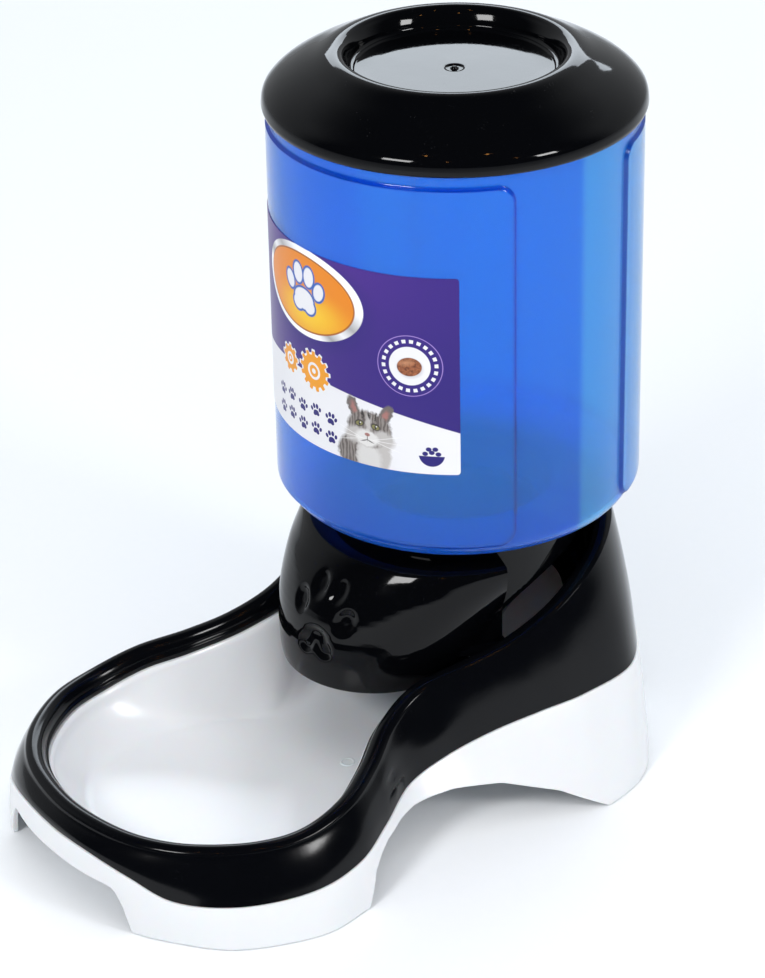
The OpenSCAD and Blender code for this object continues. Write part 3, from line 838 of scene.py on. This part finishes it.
def makeHood():
    s = hoodShape
    top, seat, shelf, socket, backStart = (
        s[k] for k in ("top", "seat", "shelf", "socket", "backStart"))
    coarse = smoothLine([np.array(l, float) for l in s["levels"]], 4)
    fine = []
    for a, b in zip(coarse, coarse[1:]):
        steps = max(1, int(math.ceil(abs(b[0] - a[0]) / (0.85 if 60 < a[0] < 100 else 2.0))))
        fine += [mix(a, b, k / steps) for k in range(steps)]
    fine.append(coarse[-1])
    outside = [hoodRow(z, c, r, 0, True) for z, c, r in fine]
    inside = [hoodRow(z, c, r, s["wall"], False) for z, c, r in coarse if z < 103.4]
    lip = [mix(outside[0], inside[0], k) - [0, 0, 0.35] for k in (0.25, 0.75)]
    rim = outside[-1]
    flat = np.hypot(rim[:, 0], rim[:, 1])[:, None]
    hole = np.insert(rim[:, :2] / flat * 49.5, 2, top, 1)
    shell = gridSkin("hoodShell", outside + [mix(rim, hole, 0.4), hole, hole - [0, 0, 2.6]]
                     + inside[::-1] + lip[::-1], closed=True)
    deck = lathe("hoodDeck", [(socket, 103.7), (socket + 0.3, 103.4), (49.9, 103.4), (49.9, top),
                              (socket + 0.3, top), (socket, top - 0.3)], 180)
    for k in range(3):
        notch = lathe("notch", [(36, 102), (s["lugRoom"], 102), (s["lugRoom"], 108), (36, 108)], 14,
                      120 * k + 45 - 14, 28)
        cutAway(deck, notch)
    ring = lathe("hoodRing", [(49.2, top - 0.5), (52.5, top - 0.5), (52.5, seat - 0.9),
                              (52.25, seat - 0.3), (51.6, seat), (49.8, seat), (49.2, seat - 0.6)])
    skirt = lathe("hoodSkirt", [(50.4, shelf + 0.2), (52.6, shelf + 0.2), (52.6, top - 1.2),
                                (52.2, top - 0.3), (51.5, top - 0.05), (50.4, top - 0.05)],
                  150, backStart - 1, s["backTurn"] + 2)
    webOutline = [(33, 57), (52.2, 57), (52.2, 105), (50, 105), (50.4, 80), (42.5, 68), (38, 62)]
    webs = [plate("hoodWeb", webOutline, 2.2, backStart - 1, -0.05),
            plate("hoodWeb", webOutline, 2.2, 180 - backStart + 1, -2.15)]
    return joined("hoodShell", [shell, deck, ring, skirt] + webs)


delivered(smoothShade(makeHood(), 40), blackGloss, "hood", "black_gloss", "feed_hood")


baseLines = {
    "crest": [[0, -198, 38], [24, -195, 38], [42, -188, 38], [57, -176, 38], [70, -157, 38],
              [75, -137, 38.5], [73, -116, 42.5], [64, -97, 47.5], [54, -80, 55], [50, -62, 62],
              [54.5, -42, 67.5], [59, -20, 73.5], [61, 3, 84], [55.5, 26, 95.5], [41.5, 44, 102],
              [22, 56, 104.5], [0, 60, 105]],
    "joint": [[0, -206, 28], [22, -204.5, 28], [42, -199, 24.5], [60, -189, 18], [79, -170, 18],
              [88, -142, 18], [86, -118, 20], [77, -98, 24.5], [66, -78, 29], [64.5, -58, 33.5],
              [68, -37, 38.5], [73, -15, 42], [76.5, 6, 44], [73.5, 33, 45.5], [54, 53, 46.5],
              [28, 67.5, 47], [0, 72, 47]],
    "foot": [[0, -208, 0], [22, -206, 0], [43, -200, 0], [60, -190.5, 0], [80, -173, 0],
             [92.5, -142, 0], [90, -118, 0], [87, -98, 0], [85, -78, 0], [86, -58, 0],
             [90, -37, 0], [94, -15, 0], [94.5, 8, 0], [84.5, 33, 0], [58, 55, 0], [29, 69, 0],
             [0, 73.5, 0]]}
baseShape = {"wall": 2.2, "shelf": 66.0, "ledge": 0.55, "screws": [(57, -82, 37), (66, 18, 55)]}
screwPlaces = [(side * x, y, z) for x, y, z in baseShape["screws"] for side in (-1, 1)]


def basePlaces():
    # evenly along the outline, and closer together at the flanks of the arches
    places = list(np.arange(0, 32, 0.1))
    for low, high in ((1.55, 2.2), (5.9, 6.5), (10.9, 11.8), (14.65, 15.15)):
        fine = np.arange(low, high, 0.025)
        places += list(fine) + list(32 - fine)
    return apart(set(np.round(places, 4)), 0.012)


places = basePlaces()
crest, joint, foot = (loopAt(baseLines[k], places) for k in ("crest", "joint", "foot"))
crestN, jointN = levelNormals(baseLines["crest"], places), levelNormals(baseLines["joint"], places)
up = np.array([0.0, 0.0, 1.0])


def lipDrop(c):
    return np.maximum(6 + 20 * ease(c[:, 1:2], -72, -5), c[:, 2:3] - baseShape["shelf"] + 3.5)


def valleyWidth(c):
    return 0.4 + 11 * ease(c[:, 1:2], -66, -22)


def makeCover():
    c, s, n, m = crest, joint, crestN, jointN
    shoulder = c + 4.2 * n - 3.2 * up
    drop = lipDrop(c)
    low = s + 0.4 * up - baseShape["ledge"] * m
    wall = smoothLine([low, mix(s, shoulder, 0.34) + 0.65 * n, mix(s, shoulder, 0.7) + 0.65 * n,
                       shoulder], 6)
    roll = smoothLine([mix(s, shoulder, 0.7) + 0.65 * n, shoulder, c + 3.3 * n - 1.3 * up,
                       c + 1.5 * n - 0.2 * up, c - 0.8 * n - 0.1 * up, c - 2.8 * n - 1.2 * up,
                       c - 4.0 * n - 3.0 * up, c - 4.5 * n - 4.6 * up], 6)[7:]
    lipLow = c - 4.9 * n - np.maximum(drop - 3, 5.2) * up
    bead = [c - 4.75 * n - 5.0 * up, c - 5.1 * n - 5.3 * up, c - 5.5 * n - 5.5 * up,
            c - 5.75 * n - 5.85 * up, c - 5.8 * n - 6.3 * up]
    flange = c - (5 + valleyWidth(c)) * n - drop * up
    bead = [mix(b, c - (4.75 + 0.03 * k) * n - (5.0 + 0.3 * k) * up, ease(drop, 6.5, 9))
            for k, b in enumerate(bead)]
    ends = mix(c - 5.75 * n - 7.2 * up, lipLow, ease(drop, 6.5, 11))
    tip = mix(c - 5.6 * n - 7.6 * up, flange, ease(drop, 6.5, 11))
    under = c + 1.9 * n - 5 * up
    heel = s - baseShape["wall"] * m + 0.4 * up
    rows = (wall[:-1] + roll + bead + straight(bead[-1], ends, 4) + straight(ends, tip, 4)
            + [tip - 1.2 * up + 0.6 * n, mix(tip, c - 3 * n - drop * up, 0.6) - 2 * up]
            + [c - 3 * n - drop * up, c - 1.9 * n - 4.6 * up, under,
               mix(heel, under, 0.7) + 0.7 * n, mix(heel, under, 0.34) + 0.8 * n,
               heel + 0.3 * up, heel + 0.3 * m])
    rows = [np.array(r) for r in rows]
    sink = np.array([67.5, -88.0, 38.0])  # a small sink mark over the boss inside
    for r in rows[2:16]:
        near = np.exp(-(((r - sink) / [4.5, 4.5, 1.9]) ** 2).sum(1))[:, None]
        r -= 0.75 * near * crestN
    shell = gridSkin("coverShell", rows, closed=True)
    shelf = lathe("coverShelf", [(46, 63.9), (46.3, 63.6), (57.8, 63.6), (57.8, 66), (46.4, 66),
                                 (46, 65.6)], 140, -17, 214)
    bosses = [lathe("boss", [(1.55, z + 0.2), (3.6, z + 0.2), (3.6, z + 9.2), (3.2, z + 9.7),
                             (0, z + 9.7), (0, z + 8.5), (1.55, z + 8.5)], 32, x=x, y=y)
              for x, y, z in screwPlaces]
    return joined("coverShell", [shell, shelf] + bosses)


delivered(smoothShade(makeCover(), 42), blackSatin, "base", "black_gloss", "cover")


trayShape = {
    "bowlMiddle": (0, -122), "bowlHalf": (50, 56), "bowlFloor": 11.0, "pinMark": (14.5, -71.5),
    # half width or place along the side, then height, for each arch
    "frontArch": [(0, 18), (31, 18), (35, 17.6), (37, 16.4), (39, 13.6), (41, 9.9), (44, 0),
                  (48, 0)],
    "rearArch": [(0, 16), (22, 16), (26, 15.6), (28, 14.5), (31, 8.8), (34, 0), (40, 0)],
    "sideArch": [(-125, 0), (-117, 0), (-111, 13), (-106, 17.2), (-100, 20), (-90, 22), (-80, 22.6),
                 (-60, 22.6), (-40, 20.5), (-18, 12.5), (3, 0), (10, 0)]}


def archHeight(f):
    t = trayShape
    front = np.interp(np.abs(f[:, 0]), *zip(*t["frontArch"])) * (f[:, 1] < -194)
    rear = np.interp(np.abs(f[:, 0]), *zip(*t["rearArch"])) * (f[:, 1] > 60)
    side = np.interp(f[:, 1], *zip(*t["sideArch"])) * (np.abs(f[:, 0]) > 60)
    return np.maximum(np.maximum(front, rear), side)[:, None]


def makeTray():
    t, w = trayShape, baseShape["wall"]
    c, s, f, n, m = crest, joint, foot, crestN, jointN
    shoulder = c + 4.2 * n - 3.2 * up
    lean = (shoulder - s) / np.linalg.norm(shoulder - s, axis=1, keepdims=True)
    rim = c - (lipDrop(c) + 2.4) * up
    middle = np.array([*t["bowlMiddle"], 0.0])
    d = c[:, :2] - middle[:2]
    u = d / np.linalg.norm(d, axis=1, keepdims=True)

    def floorEdge(grow, z):
        r = 1 / np.hypot(*(u / t["bowlHalf"]).T) + grow
        return np.insert(middle[:2] + u * r[:, None], 2, z, 1)

    def bowlWall(start, end, share):
        p = mix(start, end, share)
        p[:, 2:3] = end[:, 2:3] + (start[:, 2:3] - end[:, 2:3]) * (1 - share) ** 2
        return p

    def skirt(share, inset):
        return mix(f, s, share) + (0.6 * 4 * share * (1 - share) - inset) * m

    lowest = archHeight(f) / s[:, 2:3]
    shares = [mix(lowest, 1.0, k) for k in (0.05, 0.16, 0.3, 0.45, 0.6, 0.75, 0.9)]
    edgeIn = skirt(lowest + 0.55 / s[:, 2:3], w)
    edgeOut = skirt(lowest + 0.5 / s[:, 2:3], 0)
    flatMid = np.insert(middle[:2] + u * 25, 2, t["bowlFloor"] - 0.3, 1)
    edge, lowEdge = floorEdge(0, t["bowlFloor"]), floorEdge(1.5, t["bowlFloor"] - w)
    wallTop, wallBack = rim - 8 * n - 4 * up, rim - 5.6 * n - 5 * up
    bottom = np.tile(middle + [0, 0, t["bowlFloor"] - 0.4], (len(c), 1))
    rows = [bottom - w * up, mix(bottom, flatMid, 0.4) - w * up, flatMid - w * up,
            mix(flatMid - w * up, lowEdge, 0.6), lowEdge]
    rows += [bowlWall(wallBack, lowEdge, k) for k in (0.85, 0.7, 0.55, 0.4, 0.25, 0.12)]
    backTop, backLow = rim - 3.4 * n - 3 * up, s - (w + 3.4) * m - 1.8 * up
    rows += [wallBack, backTop, mix(backTop, backLow, 0.5), backLow, s - (w + 1.2) * m - 2.2 * up]
    rows += [skirt(k, w) for k in shares[::-1]]
    rows += [edgeIn, skirt(lowest + 0.16 / s[:, 2:3], w - 0.16), skirt(lowest, w - 0.5),
             skirt(lowest, 0.45), skirt(lowest + 0.14 / s[:, 2:3], 0.13), edgeOut]
    rows += [skirt(k, 0) for k in shares]
    low, high = s - (w + 2.6) * m + 0.4 * up, rim - 1.5 * n - 1.2 * up
    rows += [s - 0.25 * up, s - 0.12 * m - 0.06 * up, s - 0.35 * m, s - (w + 0.4) * m,
             s - (w + 0.5) * m + 3 * lean, s - (w + 2) * m + 3 * lean, low, mix(low, high, 0.5),
             high, rim - 2.4 * n, rim - 6.4 * n, rim - 7.2 * n - 0.8 * up,
             rim - 7.7 * n - 2.4 * up, wallTop]
    rows += [bowlWall(wallTop, edge, k) for k in np.linspace(0.08, 0.96, 14)]
    rows += [edge, mix(edge, flatMid, 0.5) - 0.1 * up, flatMid, mix(flatMid, bottom, 0.6), bottom]
    shell = gridSkin("trayShell", rows)
    bosses = [lathe("trayBoss", [(1.7, z - 11), (4.2, z - 11), (4.6, z - 10.6), (4.6, z - 0.1),
                                 (1.7, z - 0.1)], 40, x=x, y=y) for x, y, z in screwPlaces]
    x, y = t["pinMark"]  # a small raised ring that an ejector pin left in the bowl
    above, down = Vector((x * mm, y * mm + axisY, 0.1)), Vector((0, 0, -1))
    z = shell.ray_cast(above, down)[1].z / mm
    ring = lathe("pinMark", [(2.2, z - 1), (3.2, z - 1), (3.2, z + 0.12), (3.0, z + 0.26),
                             (2.5, z + 0.26), (2.2, z + 0.1)], 48, x=x, y=y)
    return joined("trayShell", [shell, ring] + bosses)


delivered(smoothShade(makeTray(), 40), whiteGloss, "base", "white_gloss", "base_tray")


screwShape = {"radius": 1.5, "head": 3.0, "below": 11.0, "above": 6.5, "pitch": 1.1}


def makeSteel():
    material, tree, shader = startMaterial("screwSteel")
    place = objectPlace(tree)
    skin = useGroup(tree, mouldedSkin, Place=place, Wave=1.0, Shine=0.26, Haze=0.2)
    dust = useGroup(tree, fineDust, Place=place, Amount=0.8, Size=2200)
    steel = blend(dust["Scuff"], (0.56, 0.57, 0.58, 1), (0.3, 0.3, 0.31, 1))
    fill(shader, {"Base Color": steel, "Roughness": skin["Roughness"], "Metallic": 1.0})
    addBump(shader, skin["Height"], 0.00004)
    return material


def makeScrew(x, y, z):
    s = screwShape
    base = z - s["below"]
    outline = [(0, base - 2.05), (1.6, base - 2.0), (2.4, base - 1.75), (2.85, base - 1.25),
               (s["head"], base - 0.6), (s["head"], base - 0.1), (2.9, base), (1.15, base)]
    level = base + 0.5
    while level < z + s["above"]:
        outline += [(1.15, level), (s["radius"], level + 0.35), (s["radius"], level + 0.45),
                    (1.15, level + 0.8)]
        level += s["pitch"]
    outline += [(0.9, level), (0, level + 1.0)]
    screw = lathe("screw", outline, 28, x=x, y=y, closed=False)
    head = (x * mm, y * mm + axisY, (base - 1.6) * mm)
    for size in ((3.6, 0.72, 1.6), (0.72, 3.6, 1.6)):  # the two arms of the cross recess
        clearSelection()
        bpy.ops.mesh.primitive_cube_add(size=mm, location=head)
        slot = bpy.context.object
        slot.scale = size
        bpy.ops.object.transform_apply(location=True, rotation=True, scale=True)
        cutAway(screw, slot)
    return screw


screws = joined("coverScrews", [makeScrew(*place) for place in screwPlaces])
delivered(smoothShade(screws, 35), makeSteel(), "base", "screw_steel", "cover_screws")


stage = {"size": 16.0, "tone": (0.86, 0.885, 0.91, 1), "grain": (0.88, 0.9, 0.925, 1)}


def makeStage():
    clearSelection()
    bpy.ops.mesh.primitive_plane_add(size=stage["size"], location=(0, 0, -0.0004))
    floor = renameNew("floor")
    material, tree, shader = startMaterial("paleFloor")
    grain = noise(objectPlace(tree), 240, 3, 0.6)
    fill(shader, {"Base Color": blend(grain, stage["tone"], stage["grain"]), "Roughness": 0.6})
    floor.data.materials.append(material)


def softbox(name, azimuth, elevation, distance, across, high, power, tone=(1, 1, 1), seen=True):
    a, e = math.radians(azimuth), math.radians(elevation)
    aim = Vector((0, axisY, 0.17))
    back = Vector((math.sin(a) * math.cos(e), -math.cos(a) * math.cos(e), math.sin(e)))
    light = bpy.data.lights.new(name, "AREA")
    light.shape = "RECTANGLE"
    light.size, light.size_y = across, high
    light.energy, light.color = power, tone
    lamp = bpy.data.objects.new(name, light)
    lamp.location = aim + back * distance
    lamp.rotation_euler = (-back).to_track_quat("-Z", "Y").to_euler()
    lamp.visible_glossy, lamp.visible_camera = seen, False
    bpy.context.scene.collection.objects.link(lamp)


def makeWorld():
    world = bpy.data.worlds.new("studio")
    bpy.context.scene.world = world
    world.use_nodes = True
    tree = world.node_tree
    # bright behind the feeder up to half height, dark overhead and in front
    x, y, z = split(addNode(tree, "ShaderNodeTexCoord").outputs["Generated"])
    behind = plus(times(x, -0.785), times(y, 0.62))
    screen = times(remap(behind, -0.15, 0.35, 0, 1, True), remap(z, 0.55, 0.9, 1, 0, True))
    path = addNode(tree, "ShaderNodeLightPath").outputs
    strength = times(plus(times(screen, 0.85), 0.05), remap(path["Is Glossy Ray"], 0, 1, 1, 0.55))
    for ray, least in (("Is Diffuse Ray", 0.55), ("Is Camera Ray", 0.6)):
        strength = calc("MAXIMUM", strength, times(path[ray], least))
    fill(tree.nodes["Background"], {"Strength": strength, "Color": (0.93, 0.965, 1.0, 1)})


def makeCamera():
    # round the hopper's axis: azimuth, distance along the floor and height, then the aim
    view = {"azimuth": 51.71, "away": 1232.88, "high": 797.88, "yaw": 1.43, "pitch": 27.41,
            "roll": -1.17, "lens": 124.27, "shift": -0.105}
    a, yaw, pitch, roll = (math.radians(view[k]) for k in ("azimuth", "yaw", "pitch", "roll"))
    spot = Vector((math.sin(a) * view["away"] * mm, -math.cos(a) * view["away"] * mm + axisY,
                   view["high"] * mm))
    look = Vector((-math.sin(a + yaw) * math.cos(pitch), math.cos(a + yaw) * math.cos(pitch),
                   -math.sin(pitch)))
    right = look.cross(Vector((0, 0, 1))).normalized()
    over = right.cross(look)
    right2 = math.cos(roll) * right + math.sin(roll) * over
    over2 = -math.sin(roll) * right + math.cos(roll) * over
    optics = bpy.data.cameras.new("camera")
    optics.lens, optics.sensor_width, optics.shift_y = view["lens"], 36, view["shift"]
    optics.clip_start, optics.clip_end = 0.05, 30
    camera = bpy.data.objects.new("camera", optics)
    turn = Matrix((right2, over2, -look)).transposed().to_4x4()
    camera.matrix_world = Matrix.Translation(spot) @ turn
    bpy.context.scene.collection.objects.link(camera)
    bpy.context.scene.camera = camera


makeStage()
makeWorld()
softbox("leftBox", 17, 33, 1.6, 0.42, 0.3, 10)
softbox("rightBox", 106, 26, 1.7, 0.34, 0.3, 9)
softbox("backBox", 229, 28, 2.2, 1.7, 0.46, 12, (0.84, 0.92, 1.0))
softbox("topFill", 62, 74, 2.0, 2.2, 2.2, 13, seen=False)
softbox("frontFill", 50, 40, 2.4, 1.6, 1.2, 3, seen=False)
for azimuth, elevation in ((28, 60), (80, 62), (46, 41), (90, 38)):  # small warm ceiling lamps
    softbox("warmLamp", azimuth, elevation, 2.4, 0.045, 0.045, 0.3, (1, 0.42, 0.1))
makeCamera()
bpy.context.scene.view_settings.view_transform = "Standard"
print("stage, lights and camera set")
